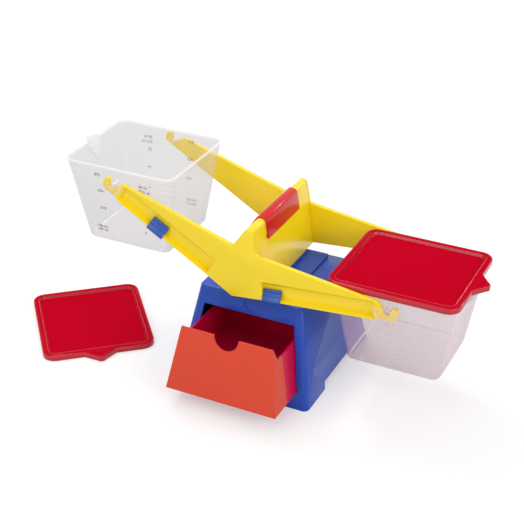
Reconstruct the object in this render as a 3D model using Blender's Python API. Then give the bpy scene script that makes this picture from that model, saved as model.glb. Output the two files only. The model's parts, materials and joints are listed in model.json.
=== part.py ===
"""Bucket balance: a blue base with a drawer, a yellow beam on a knife edge, and two hanging buckets.

Units are metres. X runs along the beam, Y from front to back, and Z up. The origin is on the
surface that the base stands on, under the middle of the base. The beam is modelled tilted, with
its right-hand end down on the tilt stop, the drawer partly open, one lid on the right-hand bucket
and the other lid lying on the surface beside the base.
"""

import math

import bmesh
import bpy
from mathutils import Vector

# Gaps and overruns
TOUCH_GAP = 0.0003
CUT_OVERRUN = 0.006
WELD_DISTANCE = 0.0000001
ARC_STEPS = 5
ROUND_SIDES = 24

# Base shell
BASE_TOP_WIDTH = 0.117
BASE_TOP_DEPTH = 0.116
BASE_BOTTOM_WIDTH = 0.1526
BASE_BOTTOM_DEPTH = 0.166
BASE_HEIGHT = 0.1045
BASE_WALL = 0.003
BASE_CORNER_RADIUS = 0.006
BASE_EDGE_RADIUS = 0.0015
WINDOW_BORDER = 0.0105
WINDOW_SILL = 0.017
WINDOW_HEADER = 0.0185
FOOT_ARCH_LENGTH = 0.074
FOOT_ARCH_HEIGHT = 0.008

# Base floor and its screws
FLOOR_UNDERSIDE = 0.0125
FLOOR_THICKNESS = 0.0025
FLOOR_FOOT_RADIUS = 0.007
RUNNER_WIDTH = 0.004
RUNNER_INSET = 0.012
SCREW_RADIUS = 0.0015
SCREW_LENGTH = 0.012
SCREW_HEAD_RADIUS = 0.0029
SCREW_HEAD_HEIGHT = 0.002
SCREW_SLOT_WIDTH = 0.0007
SCREW_SLOT_DEPTH = 0.0011
BOSS_RADIUS = 0.0036
BOSS_HEIGHT = 0.018
BOSS_WALL_BITE = 0.0005
FLOOR_BOSS_INSET = 0.025

# Drawer
DRAWER_CLEARANCE = 0.0008
DRAWER_WALL = 0.0022
DRAWER_FRONT_WALL = 0.0026
DRAWER_TRAY_DROP = 0.015
DRAWER_BACK_PLACE_Y = 0.060
DRAWER_RETURN_FLAT = 0.0030
DRAWER_RETURN_DEPTH = 0.012
FINGER_NOTCH_RADIUS = 0.0138
DRAWER_OPENING = 0.0497

# Beam
PIVOT_ABOVE_BASE = 0.0679
BEAM_TILT_DEGREES = 12.93
ARM_INNER_Y = 0.0622
ARM_RIDGE_OUTER_Y = 0.0654
ARM_FLARE = 0.0066
RIDGE_HALF_WIDTH = 0.0037
RIDGE_RISE = 0.0122
RIDGE_ROUND = 0.0042
SADDLE_FOOT_HALF_WIDTH = 0.0298
SADDLE_FOOT_DROP = 0.055
SADDLE_WALL = 0.0025
SHOULDER_DROP = 0.012
SHOULDER_FILLET = 0.004
KEEL_DROP = 0.0648
PIN_REACH = 0.155
PIN_DROP = 0.007
PIN_RADIUS = 0.003
NOTCH_SHOULDER_DROP = 0.0008
FINGER_RISE = -0.0006
FINGER_LEAN = 0.0016
FINGER_THICKNESS = 0.0042
ARM_TIP_REACH = 0.0107
ARM_HEEL_REACH = 0.0104
ARM_HEEL_DROP = 0.0120
ARM_HEEL_RADIUS = 0.0016
ARM_CORNER_RADIUS = 0.0025

# Rail for the compensators, along the lower edge of each side panel
RAIL_LEDGE_Y = 0.0709
RAIL_LEDGE_THICKNESS = 0.002
RAIL_WEB_Y = 0.0642
RAIL_CHANNEL_HEIGHT = 0.0152
RAIL_BEVEL = 0.0048
RAIL_START = 0.034
RAIL_END_CLEARANCE = 0.003

# Pivot cap and fulcrum
CAP_HALF_LENGTH = 0.037
CAP_LAP = 0.0016
CAP_PROUD = 0.0012
CAP_FLAP_DROP = 0.0066
SNAP_SLOT_WIDTH = 0.0014
SNAP_SLOT_HEIGHT = 0.0035
SEAT_HALF_ANGLE_DEGREES = 58.0
KNIFE_HALF_ANGLE_DEGREES = 40.0
FULCRUM_HALF_LENGTH = 0.045
FULCRUM_WALL = 0.0025
FULCRUM_PLATE_HALF_WIDTH = 0.038
FULCRUM_PLATE_MARGIN = 0.0035
FULCRUM_PLATE_THICKNESS = 0.002
FULCRUM_BOSS_PLACE_Y = 0.028
FULCRUM_RIB_THICKNESS = 0.002

# Compensators
COMPENSATOR_LENGTH = 0.0195
COMPENSATOR_WALL = 0.0015
COMPENSATOR_HEIGHT = 0.0117
COMPENSATOR_BEAD_RADIUS = 0.0017
COMPENSATOR_HOOK = 0.0037
COMPENSATOR_BULGE_HEIGHT = 0.0026
COMPENSATOR_CORNER_RADIUS = 0.0008
COMPENSATOR_LEFT_REACH = 0.1013
COMPENSATOR_RIGHT_REACH = 0.0445

# Buckets
BUCKET_HEIGHT = 0.0943
BUCKET_RIM_LENGTH = 0.1302
BUCKET_RIM_WIDTH = 0.1172
BUCKET_BOTTOM_LENGTH = 0.0982
BUCKET_BOTTOM_WIDTH = 0.0888
BUCKET_WALL = 0.0018
BUCKET_FLOOR = 0.002
BUCKET_RIM_CORNER = 0.0100
BUCKET_BOTTOM_CORNER = 0.0085
BUCKET_BOTTOM_ROUND = 0.003
BUCKET_FOOT_RADIUS = 0.0031
BUCKET_FOOT_HEIGHT = 0.0008
BUCKET_FOOT_END_INSET = 0.0136
BUCKET_FOOT_SIDE_INSET = 0.0089
BUCKET_LIP_PROUD = 0.001
BUCKET_LIP_HEIGHT = 0.0022
RIM_ABOVE_PIN = 0.014
SPOUT_HALF_WIDTH = 0.0140
SPOUT_REACH = 0.0095
SPOUT_DEPTH = 0.0245
SPOUT_CREASE = 0.0008
PIN_DISC_RADIUS = 0.0135
PIN_DISC_THICKNESS = 0.0018
PIN_DISC_CLEARANCE = 0.0006
PIN_DISC_TOP = 0.0045

# Lids
LID_CLEARANCE = 0.001
LID_WALL = 0.0015
LID_SKIRT_DROP = 0.0042
LID_PANEL_DROP = 0.0024
LID_PLUG_CLEARANCE = 0.0006
LID_STEP_WALL = 0.0012
LID_STEP_SLOPE = 0.0009
LID_EDGE_RADIUS = 0.0008
LID_BEAD_WIDTH = 0.0009
LID_BEAD_HEIGHT = 0.0005
LID_TAB_HALF_WIDTH = 0.0174
LID_TAB_TIP_HALF_WIDTH = 0.0048
LID_TAB_TIP_CUT = 0.0026
LID_TAB_REACH = 0.0125
LOOSE_LID_PLACE_X = -0.2125
LOOSE_LID_PLACE_Y = -0.0345
LOOSE_LID_TURN_DEGREES = -49.7

# Values worked out from the driving sizes
PIVOT_HEIGHT = BASE_HEIGHT + PIVOT_ABOVE_BASE
BEAM_TILT = math.radians(BEAM_TILT_DEGREES)
BASE_SIDE_SLOPE = (BASE_BOTTOM_WIDTH - BASE_TOP_WIDTH) / 2 / BASE_HEIGHT
BASE_FRONT_SLOPE = (BASE_BOTTOM_DEPTH - BASE_TOP_DEPTH) / 2 / BASE_HEIGHT
WINDOW_TOP = BASE_HEIGHT - WINDOW_HEADER
DRAWER_BOTTOM = WINDOW_SILL + DRAWER_CLEARANCE
DRAWER_TOP = WINDOW_TOP - DRAWER_CLEARANCE
FLOOR_TOP = FLOOR_UNDERSIDE + FLOOR_THICKNESS
FULCRUM_BOTTOM = BASE_HEIGHT + TOUCH_GAP
ARM_LEAN = ARM_FLARE / (RIDGE_RISE + KEEL_DROP)
SADDLE_SLOPE = (SADDLE_FOOT_HALF_WIDTH - RIDGE_HALF_WIDTH) / (SADDLE_FOOT_DROP + RIDGE_RISE)
SADDLE_LEAN = math.atan(SADDLE_SLOPE)
KEEL_SLOPE = (KEEL_DROP - ARM_HEEL_DROP) / (PIN_REACH + ARM_HEEL_REACH)
KEEL_ANGLE = math.atan(KEEL_SLOPE)
RAIL_END = PIN_REACH - RAIL_END_CLEARANCE
RIM_Z = RIM_ABOVE_PIN
BUCKET_BOTTOM_Z = RIM_Z - BUCKET_HEIGHT
LID_LENGTH = BUCKET_RIM_LENGTH + 2 * (LID_CLEARANCE + LID_WALL)
LID_WIDTH = BUCKET_RIM_WIDTH + 2 * (LID_CLEARANCE + LID_WALL)


def material(name, colour, roughness, alpha=1.0):
    """A plastic finish as a Principled BSDF."""
    made = bpy.data.materials.new(name)
    made.use_nodes = True
    shader = made.node_tree.nodes["Principled BSDF"]
    shader.inputs["Base Color"].default_value = (*colour, 1.0)
    shader.inputs["Roughness"].default_value = roughness
    shader.inputs["Metallic"].default_value = 0.0
    shader.inputs["Alpha"].default_value = alpha
    return made


def add_object(name, mesh_builder, finish, parent=None):
    """Turn a bmesh into a named object with consistent outward faces."""
    bmesh.ops.remove_doubles(mesh_builder, verts=mesh_builder.verts, dist=WELD_DISTANCE)
    bmesh.ops.recalc_face_normals(mesh_builder, faces=mesh_builder.faces)
    mesh = bpy.data.meshes.new(name)
    mesh_builder.to_mesh(mesh)
    mesh_builder.free()
    made = bpy.data.objects.new(name, mesh)
    bpy.context.scene.collection.objects.link(made)
    if finish is not None:
        mesh.materials.append(finish)
    if parent is not None:
        made.parent = parent
    return made


def add_empty(name, place, turn_y=0.0, turn_z=0.0, parent=None):
    """An axis or a slide on which a moving piece is placed."""
    made = bpy.data.objects.new(name, None)
    bpy.context.scene.collection.objects.link(made)
    made.location = place
    made.rotation_euler = (0.0, turn_y, turn_z)
    if parent is not None:
        made.parent = parent
    return made


def shade_round(piece, angle=math.radians(35)):
    """Smooth shading that keeps the real edges sharp."""
    piece.data.shade_smooth()
    piece.data.set_sharp_from_angle(angle=angle)


def lofted(loops):
    """A closed skin through loops of equal length, capped at both ends."""
    builder = bmesh.new()
    rows = [[builder.verts.new(point) for point in loop] for loop in loops]
    count = len(rows[0])
    for lower, upper in zip(rows, rows[1:]):
        for index in range(count):
            after = (index + 1) % count
            builder.faces.new((lower[index], lower[after], upper[after], upper[index]))
    builder.faces.new(list(reversed(rows[0])))
    builder.faces.new(rows[-1])
    return builder


def prism_along_y(outline, start_y, end_y):
    """An outline of (x, z) points extruded along Y."""
    return lofted([[(x, y, z) for x, z in outline] for y in (start_y, end_y)])


def prism_along_x(outline, start_x, end_x):
    """An outline of (y, z) points extruded along X."""
    return lofted([[(x, y, z) for y, z in outline] for x in (start_x, end_x)])


def circle_points(radius, centre=(0.0, 0.0), sides=ROUND_SIDES):
    """Points round a circle in its own plane."""
    turn = 2 * math.pi / sides
    return [(centre[0] + radius * math.cos(i * turn), centre[1] + radius * math.sin(i * turn))
            for i in range(sides)]


def cylinder_along_z(radius, bottom, top, centre=(0.0, 0.0)):
    ring = circle_points(radius, centre)
    return lofted([[(x, y, z) for x, y in ring] for z in (bottom, top)])


def filleted(corners, steps=ARC_STEPS):
    """An outline of (a, b, radius) corners with each corner rounded to its radius."""
    points = []
    count = len(corners)
    for index, (a, b, radius) in enumerate(corners):
        here = Vector((a, b))
        before = Vector(corners[index - 1][:2]) - here
        after = Vector(corners[(index + 1) % count][:2]) - here
        if radius == 0:
            points.append((a, b))
            continue
        half_angle = before.angle(after) / 2
        setback = min(radius / math.tan(half_angle), before.length / 2, after.length / 2)
        start = here + before.normalized() * setback
        end = here + after.normalized() * setback
        for step in range(steps + 1):
            share = step / steps
            bend = (start * (1 - share) ** 2 + here * 2 * share * (1 - share) + end * share ** 2)
            points.append((bend.x, bend.y))
    return points


def box_loop(half_x, half_y, radius, z, spout=()):
    """A rounded rectangle at height z; spout lists (reach, y) points to add on its +X side."""
    corners = ((half_x, half_y, 0), (-half_x, half_y, 1), (-half_x, -half_y, 2), (half_x, -half_y, 3))
    points = []
    for x, y, quarter in corners:
        centre_x = x - math.copysign(radius, x)
        centre_y = y - math.copysign(radius, y)
        for step in range(ARC_STEPS + 1):
            angle = math.pi / 2 * (quarter + step / ARC_STEPS)
            points.append((centre_x + radius * math.cos(angle),
                           centre_y + radius * math.sin(angle), z))
    points += [(half_x + reach, y, z) for reach, y in spout]
    return points


def apply_boolean(piece, builder, operation):
    """Join or cut a piece with a closed shape given in the piece's own coordinates."""
    bpy.context.view_layer.update()
    bmesh.ops.transform(builder, matrix=piece.matrix_world, verts=builder.verts)
    tool = add_object(piece.name + "_tool", builder, None)
    change = piece.modifiers.new(operation.lower(), 'BOOLEAN')
    change.operation = operation
    change.solver = 'EXACT'
    change.object = tool
    bpy.context.view_layer.update()
    graph = bpy.context.evaluated_depsgraph_get()
    result = bpy.data.meshes.new_from_object(piece.evaluated_get(graph))
    piece.modifiers.clear()
    piece.data = result
    bpy.data.objects.remove(tool)


def cut(piece, builder):
    apply_boolean(piece, builder, 'DIFFERENCE')


def join(piece, builder):
    apply_boolean(piece, builder, 'UNION')


def base_half_width(z):
    return BASE_BOTTOM_WIDTH / 2 - BASE_SIDE_SLOPE * z


def base_half_depth(z):
    return BASE_BOTTOM_DEPTH / 2 - BASE_FRONT_SLOPE * z


def window_half_width(z):
    return base_half_width(z) - WINDOW_BORDER


def base_loop(z, inset):
    radius = max(BASE_CORNER_RADIUS - inset, BASE_EDGE_RADIUS)
    return box_loop(base_half_width(z) - inset, base_half_depth(z) - inset, radius, z)


def make_base_shell(finish):
    """The tapered box, open below, with the drawer window, the foot arches and screw bosses."""
    edge = BASE_EDGE_RADIUS
    loops = [base_loop(BASE_HEIGHT, edge)]
    loops.append(base_loop(BASE_HEIGHT - edge / 3, edge / 3))
    loops.append(base_loop(BASE_HEIGHT - edge, 0.0))
    loops.append(base_loop(0.0, 0.0))
    loops.append(base_loop(0.0, BASE_WALL))
    loops.append(base_loop(BASE_HEIGHT - BASE_WALL, BASE_WALL))
    shell = add_object("base_shell", lofted(loops), finish)

    window = [(-window_half_width(WINDOW_SILL), WINDOW_SILL),
              (window_half_width(WINDOW_SILL), WINDOW_SILL),
              (window_half_width(WINDOW_TOP), WINDOW_TOP),
              (-window_half_width(WINDOW_TOP), WINDOW_TOP)]
    front_inside = base_half_depth(WINDOW_TOP) - BASE_WALL - CUT_OVERRUN
    cut(shell, prism_along_y(window, -base_half_depth(0.0) - CUT_OVERRUN, -front_inside))

    half_arch = FOOT_ARCH_LENGTH / 2
    slant = FOOT_ARCH_HEIGHT
    arch = [(-half_arch, -CUT_OVERRUN), (half_arch, -CUT_OVERRUN), (half_arch, 0.0),
            (half_arch - slant / 4, FOOT_ARCH_HEIGHT), (slant / 4 - half_arch, FOOT_ARCH_HEIGHT),
            (-half_arch, 0.0)]
    reach = base_half_width(0.0) + CUT_OVERRUN
    for side in (-1, 1):
        inner = side * (base_half_width(FOOT_ARCH_HEIGHT) - BASE_WALL - CUT_OVERRUN)
        cut(shell, prism_along_x(arch, inner, side * reach))

    for place_x, place_y in floor_screw_places():
        boss_bottom = FLOOR_TOP + TOUCH_GAP
        join(shell, cylinder_along_z(BOSS_RADIUS, boss_bottom, boss_bottom + BOSS_HEIGHT,
                                     (place_x, place_y)))
        cut(shell, cylinder_along_z(SCREW_RADIUS + TOUCH_GAP, boss_bottom - CUT_OVERRUN,
                                    boss_bottom + SCREW_LENGTH, (place_x, place_y)))
    for place_y in fulcrum_screw_places():
        cut(shell, cylinder_along_z(SCREW_RADIUS + TOUCH_GAP, BASE_HEIGHT - BASE_WALL - CUT_OVERRUN,
                                    BASE_HEIGHT + CUT_OVERRUN, (0.0, place_y)))
    shade_round(shell)
    return shell


def floor_screw_places():
    """The four floor screws stand against the side walls."""
    boss_x = base_half_width(FLOOR_TOP) - BASE_WALL - BOSS_RADIUS + BOSS_WALL_BITE
    boss_y = BASE_BOTTOM_DEPTH / 2 - FLOOR_BOSS_INSET
    return [(side_x * boss_x, side_y * boss_y)
            for side_x in (-1, 1) for side_y in (-1, 1)]


def fulcrum_screw_places():
    return (-FULCRUM_BOSS_PLACE_Y, FULCRUM_BOSS_PLACE_Y)


def make_base_floor(finish):
    """The plate that closes the base, with the drawer's two runners and a foot in its middle."""
    inset = BASE_WALL + TOUCH_GAP
    plate = add_object("base_floor", lofted([base_loop(FLOOR_UNDERSIDE, inset + BASE_SIDE_SLOPE
                                                       * FLOOR_THICKNESS),
                                             base_loop(FLOOR_TOP, inset)]), finish)
    runner_top = DRAWER_BOTTOM - TOUCH_GAP
    runner_end = base_half_depth(runner_top) - inset
    for side in (-1, 1):
        outer = side * (window_half_width(WINDOW_SILL) - RUNNER_INSET)
        inner = outer - side * RUNNER_WIDTH
        outline = [(min(inner, outer), FLOOR_UNDERSIDE + FLOOR_THICKNESS / 2),
                   (max(inner, outer), FLOOR_UNDERSIDE + FLOOR_THICKNESS / 2),
                   (max(inner, outer), runner_top), (min(inner, outer), runner_top)]
        join(plate, prism_along_y(outline, -runner_end, runner_end))
    join(plate, cylinder_along_z(FLOOR_FOOT_RADIUS, 0.0, FLOOR_TOP - FLOOR_THICKNESS / 2, (0.0, 0.0)))
    for place in floor_screw_places():
        cut(plate, cylinder_along_z(SCREW_RADIUS + TOUCH_GAP, FLOOR_UNDERSIDE - CUT_OVERRUN,
                                    FLOOR_TOP + CUT_OVERRUN, place))
    shade_round(plate)
    return plate


def screw_shape():
    """A pan-head screw pointing up, its head's bearing face at the origin."""
    profile = [(SCREW_HEAD_RADIUS * 0.6, -SCREW_HEAD_HEIGHT),
               (SCREW_HEAD_RADIUS * 0.92, -SCREW_HEAD_HEIGHT * 0.7),
               (SCREW_HEAD_RADIUS, -SCREW_HEAD_HEIGHT * 0.3),
               (SCREW_HEAD_RADIUS, 0.0), (SCREW_RADIUS, 0.0),
               (SCREW_RADIUS, SCREW_LENGTH - 2 * SCREW_RADIUS), (SCREW_RADIUS * 0.2, SCREW_LENGTH)]
    return lofted([[(x, y, z) for x, y in circle_points(radius)] for radius, z in profile])


def make_screws(finish):
    """Four screws hold the floor to the shell, and two hold the fulcrum to the shell's top."""
    places = [(f"floor_screw_{number}", x, y, FLOOR_UNDERSIDE - TOUCH_GAP)
              for number, (x, y) in enumerate(floor_screw_places(), 1)]
    places += [(f"fulcrum_screw_{number}", 0.0, y, BASE_HEIGHT - BASE_WALL - TOUCH_GAP)
               for number, y in enumerate(fulcrum_screw_places(), 1)]
    half_slot = SCREW_SLOT_WIDTH / 2
    slot_end = SCREW_HEAD_RADIUS * 0.6
    slot_top = SCREW_SLOT_DEPTH - SCREW_HEAD_HEIGHT
    for name, x, y, z in places:
        screw = add_object(name, screw_shape(), finish)
        outline = [(-half_slot, -SCREW_HEAD_HEIGHT - CUT_OVERRUN),
                   (half_slot, -SCREW_HEAD_HEIGHT - CUT_OVERRUN), (half_slot, slot_top),
                   (-half_slot, slot_top)]
        cut(screw, prism_along_y(outline, -slot_end, slot_end))
        cut(screw, prism_along_x(outline, -slot_end, slot_end))
        shade_round(screw)
        screw.location = (x, y, z)


def leaning_block(bottom, top, half_width, front_y, back_y):
    """A block whose width and front follow functions of height."""
    loops = []
    for z in (bottom, top):
        wide = half_width(z)
        loops.append([(-wide, front_y(z), z), (wide, front_y(z), z),
                      (wide, back_y, z), (-wide, back_y, z)])
    return lofted(loops)


def make_drawer(finish, parent):
    """One moulding: a tray whose front fills the window, with a half-round finger notch."""
    def half_width(z):
        return window_half_width(z) - DRAWER_CLEARANCE

    def face_y(z):
        return -base_half_depth(z)

    drawer = add_object("drawer", leaning_block(DRAWER_BOTTOM, DRAWER_TOP, half_width, face_y,
                                                DRAWER_BACK_PLACE_Y), finish, parent)
    tray_top = DRAWER_TOP - DRAWER_TRAY_DROP
    above = DRAWER_TOP + CUT_OVERRUN
    behind = DRAWER_BACK_PLACE_Y + CUT_OVERRUN
    return_top_y = face_y(DRAWER_TOP) + DRAWER_RETURN_FLAT
    return_foot_y = face_y(tray_top) + DRAWER_RETURN_DEPTH
    step = [(return_foot_y, tray_top), (behind, tray_top), (behind, above), (return_top_y, above),
            (return_top_y, DRAWER_TOP)]
    wide = half_width(DRAWER_BOTTOM) + CUT_OVERRUN
    cut(drawer, prism_along_x(step, -wide, wide))

    def inner_half_width(z):
        return half_width(z) - DRAWER_WALL

    def inner_face_y(z):
        return face_y(z) + DRAWER_FRONT_WALL

    cut(drawer, leaning_block(DRAWER_BOTTOM + DRAWER_WALL, above, inner_half_width, inner_face_y,
                              DRAWER_BACK_PLACE_Y - DRAWER_WALL))
    notch = circle_points(FINGER_NOTCH_RADIUS, (0.0, DRAWER_TOP), 2 * ROUND_SIDES)
    notch_back = face_y(DRAWER_TOP) + DRAWER_FRONT_WALL + CUT_OVERRUN
    cut(drawer, prism_along_y(notch, face_y(DRAWER_BOTTOM), notch_back))
    shade_round(drawer)
    return drawer


def saddle_half_width(z):
    """Half the width of the saddle's outer faces at height z over the pivot."""
    return RIDGE_HALF_WIDTH + SADDLE_SLOPE * (RIDGE_RISE - z)


def arm_outer_y(z):
    """The side panels' outer faces lean outward below the ridge."""
    return ARM_RIDGE_OUTER_Y + ARM_LEAN * (RIDGE_RISE - z)


def arm_outline():
    """One side panel of the beam, from hook to hook, as (x, z) points round the pivot."""
    seat_radius = PIN_RADIUS + TOUCH_GAP
    notch = [(PIN_REACH - seat_radius * math.cos(math.radians(angle)),
              -PIN_DROP - seat_radius * math.sin(math.radians(angle)))
             for angle in range(45, 181, 27)]
    ramp_rise = notch[0][1] + NOTCH_SHOULDER_DROP
    ramp_foot = notch[0][0] + ramp_rise
    finger = PIN_REACH + seat_radius + FINGER_LEAN
    half = [(saddle_half_width(RIDGE_RISE), RIDGE_RISE, RIDGE_ROUND),
            (saddle_half_width(-SHOULDER_DROP), -SHOULDER_DROP, SHOULDER_FILLET),
            (ramp_foot, -NOTCH_SHOULDER_DROP, ARM_CORNER_RADIUS / 2)]
    half += [(x, z, 0) for x, z in notch]
    half += [(finger, FINGER_RISE, ARM_CORNER_RADIUS / 2),
             (finger + FINGER_THICKNESS, FINGER_RISE, ARM_CORNER_RADIUS),
             (PIN_REACH + ARM_TIP_REACH, -PIN_DROP, 0),
             (PIN_REACH + ARM_HEEL_REACH, -ARM_HEEL_DROP, ARM_HEEL_RADIUS)]
    keel = [(0.0, -KEEL_DROP, ARM_CORNER_RADIUS)]
    mirrored = [(-x, z, radius) for x, z, radius in reversed(half)]
    return filleted(half + keel + mirrored)


def along_keel(section, start, end, side, face):
    """A (y, height) section run along the lower edge of a side panel."""
    across = math.cos(KEEL_ANGLE)
    rise = math.sin(KEEL_ANGLE)
    return lofted([[(side * (run * across - height * rise), face * y,
                     run * rise + height * across - KEEL_DROP) for y, height in section]
                   for run in (start, end)])


def make_arm(name, face, finish, parent):
    """A side panel with its peak, its hooks and the rails on which compensators slide."""
    outline = arm_outline()
    panel = lofted([[(x, face * ARM_INNER_Y, z) for x, z in outline],
                    [(x, face * arm_outer_y(z), z) for x, z in outline]])
    arm = add_object(name, panel, finish, parent)
    ledge_root = (ARM_INNER_Y + RAIL_WEB_Y) / 2
    ledge = [(ledge_root, 0.0), (RAIL_LEDGE_Y, 0.0), (RAIL_LEDGE_Y, RAIL_LEDGE_THICKNESS),
             (ledge_root, RAIL_LEDGE_THICKNESS)]
    far = RAIL_LEDGE_Y + CUT_OVERRUN
    channel = [(RAIL_WEB_Y, RAIL_LEDGE_THICKNESS), (far, RAIL_LEDGE_THICKNESS),
               (far, RAIL_CHANNEL_HEIGHT + RAIL_BEVEL),
               (RAIL_WEB_Y + RAIL_BEVEL, RAIL_CHANNEL_HEIGHT + RAIL_BEVEL),
               (RAIL_WEB_Y, RAIL_CHANNEL_HEIGHT)]
    for side in (-1, 1):
        join(arm, along_keel(ledge, RAIL_START - RAIL_LEDGE_THICKNESS, RAIL_END, side, face))
        cut(arm, along_keel(channel, RAIL_START, RAIL_END, side, face))
    shade_round(arm)
    return arm


def saddle_section(offset, bottom):
    """The hood's section from foot to foot, set in from the outer face by offset."""
    side_step = offset / math.cos(SADDLE_LEAN)
    top = RIDGE_RISE - offset
    wide_foot = saddle_half_width(bottom) - side_step
    wide_top = saddle_half_width(top) - side_step
    round_off = RIDGE_ROUND - offset
    return filleted([(wide_foot, bottom, 0), (wide_top, top, round_off),
                     (-wide_top, top, round_off), (-wide_foot, bottom, 0)])


def make_saddle(finish, parent):
    """The hood between the side panels, open below and cut out at the ridge for the pivot cap."""
    end_y = ARM_INNER_Y - TOUCH_GAP
    outer = saddle_section(0.0, -SADDLE_FOOT_DROP)
    inner = saddle_section(SADDLE_WALL, -SADDLE_FOOT_DROP)
    saddle = add_object("beam_saddle", prism_along_y(outer + inner[::-1], -end_y, end_y), finish,
                        parent)
    opening_y = CAP_HALF_LENGTH - CAP_LAP
    opening_z = CAP_LAP - CAP_FLAP_DROP
    wide = saddle_half_width(opening_z) + CUT_OVERRUN
    above = RIDGE_RISE + CUT_OVERRUN
    opening = [(-wide, opening_z), (wide, opening_z), (wide, above), (-wide, above)]
    cut(saddle, prism_along_y(opening, -opening_y, opening_y))
    slot_end = -CAP_HALF_LENGTH - SNAP_SLOT_WIDTH
    slot = [(slot_end, -CAP_FLAP_DROP), (-opening_y + TOUCH_GAP, -CAP_FLAP_DROP),
            (-opening_y + TOUCH_GAP, SNAP_SLOT_HEIGHT - CAP_FLAP_DROP),
            (slot_end, SNAP_SLOT_HEIGHT - CAP_FLAP_DROP)]
    cut(saddle, prism_along_x(slot, -wide, wide))
    shade_round(saddle)
    return saddle


def make_pivot_cap(finish, parent):
    """The ridge cap: it laps the saddle's opening, and its block holds the knife-edge seat."""
    outer = saddle_section(-TOUCH_GAP - CAP_PROUD, -CAP_FLAP_DROP)
    inner = saddle_section(-TOUCH_GAP, -CAP_FLAP_DROP)
    cap = add_object("pivot_cap", prism_along_y(outer + inner[::-1], -CAP_HALF_LENGTH,
                                                CAP_HALF_LENGTH), finish, parent)
    block_y = CAP_HALF_LENGTH - CAP_LAP - TOUCH_GAP
    block_z = CAP_LAP - CAP_FLAP_DROP + TOUCH_GAP
    seat_half_width = (TOUCH_GAP - block_z) * math.tan(math.radians(SEAT_HALF_ANGLE_DEGREES))
    lap = -TOUCH_GAP - CAP_PROUD / 2
    block = saddle_section(lap, block_z)
    block += [(-seat_half_width, block_z), (0.0, TOUCH_GAP), (seat_half_width, block_z)]
    join(cap, prism_along_y(block, -block_y, block_y))
    shade_round(cap)
    return cap


def fulcrum_half_width(z):
    """Half the tower's width at height z over the pivot, clear of the tilted saddle by a gap."""
    side_step = SADDLE_WALL / math.cos(SADDLE_LEAN)
    inner_reach = (saddle_half_width(0.0) - side_step) * math.cos(SADDLE_LEAN)
    flank = SADDLE_LEAN - BEAM_TILT
    return (inner_reach - TOUCH_GAP) / math.cos(flank) - math.tan(flank) * z


def make_fulcrum(finish):
    """The tower that carries the knife edge, hollow below, on a plate screwed to the base."""
    top = PIVOT_HEIGHT
    plate_bottom = FULCRUM_BOTTOM
    plate_top = plate_bottom + FULCRUM_PLATE_THICKNESS
    plate_y = BASE_TOP_DEPTH / 2 - FULCRUM_PLATE_MARGIN
    corner = BASE_EDGE_RADIUS
    plate = lofted([box_loop(FULCRUM_PLATE_HALF_WIDTH, plate_y, corner, plate_bottom),
                    box_loop(FULCRUM_PLATE_HALF_WIDTH, plate_y, corner, plate_top)])
    fulcrum = add_object("fulcrum", plate, finish)

    knife = math.tan(math.radians(KNIFE_HALF_ANGLE_DEGREES))
    flank = math.tan(SADDLE_LEAN - BEAM_TILT)
    knife_drop = fulcrum_half_width(0.0) / (knife - flank)
    knife_wide = knife * knife_drop
    foot_z = plate_bottom - top
    foot_wide = fulcrum_half_width(foot_z)
    tower = [(foot_wide, plate_bottom), (knife_wide, top - knife_drop), (0.0, top),
             (-knife_wide, top - knife_drop), (-foot_wide, plate_bottom)]
    join(fulcrum, prism_along_y(tower, -FULCRUM_HALF_LENGTH, FULCRUM_HALF_LENGTH))

    hollow_top = top - knife_drop - FULCRUM_WALL
    hollow_wide = fulcrum_half_width(hollow_top - top) - FULCRUM_WALL
    hollow = [(foot_wide - FULCRUM_WALL, plate_bottom - CUT_OVERRUN),
              (foot_wide - FULCRUM_WALL, plate_bottom), (hollow_wide, hollow_top),
              (-hollow_wide, hollow_top), (FULCRUM_WALL - foot_wide, plate_bottom),
              (FULCRUM_WALL - foot_wide, plate_bottom - CUT_OVERRUN)]
    hollow_y = FULCRUM_HALF_LENGTH - FULCRUM_WALL
    cut(fulcrum, prism_along_y(hollow, -hollow_y, hollow_y))

    boss_top = plate_bottom + BOSS_HEIGHT
    half_rib = FULCRUM_RIB_THICKNESS / 2
    rib_wide = foot_wide - FULCRUM_WALL / 2
    rib_top_wide = fulcrum_half_width(boss_top - top) - FULCRUM_WALL / 2
    rib = [(rib_wide, plate_bottom), (rib_top_wide, boss_top), (-rib_top_wide, boss_top),
           (-rib_wide, plate_bottom)]
    for place_y in fulcrum_screw_places():
        join(fulcrum, prism_along_y(rib, place_y - half_rib, place_y + half_rib))
        join(fulcrum, cylinder_along_z(BOSS_RADIUS, plate_bottom, boss_top, (0.0, place_y)))
        cut(fulcrum, cylinder_along_z(SCREW_RADIUS + TOUCH_GAP, plate_bottom - CUT_OVERRUN,
                                      plate_bottom + SCREW_LENGTH, (0.0, place_y)))
    shade_round(fulcrum)
    return fulcrum


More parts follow.
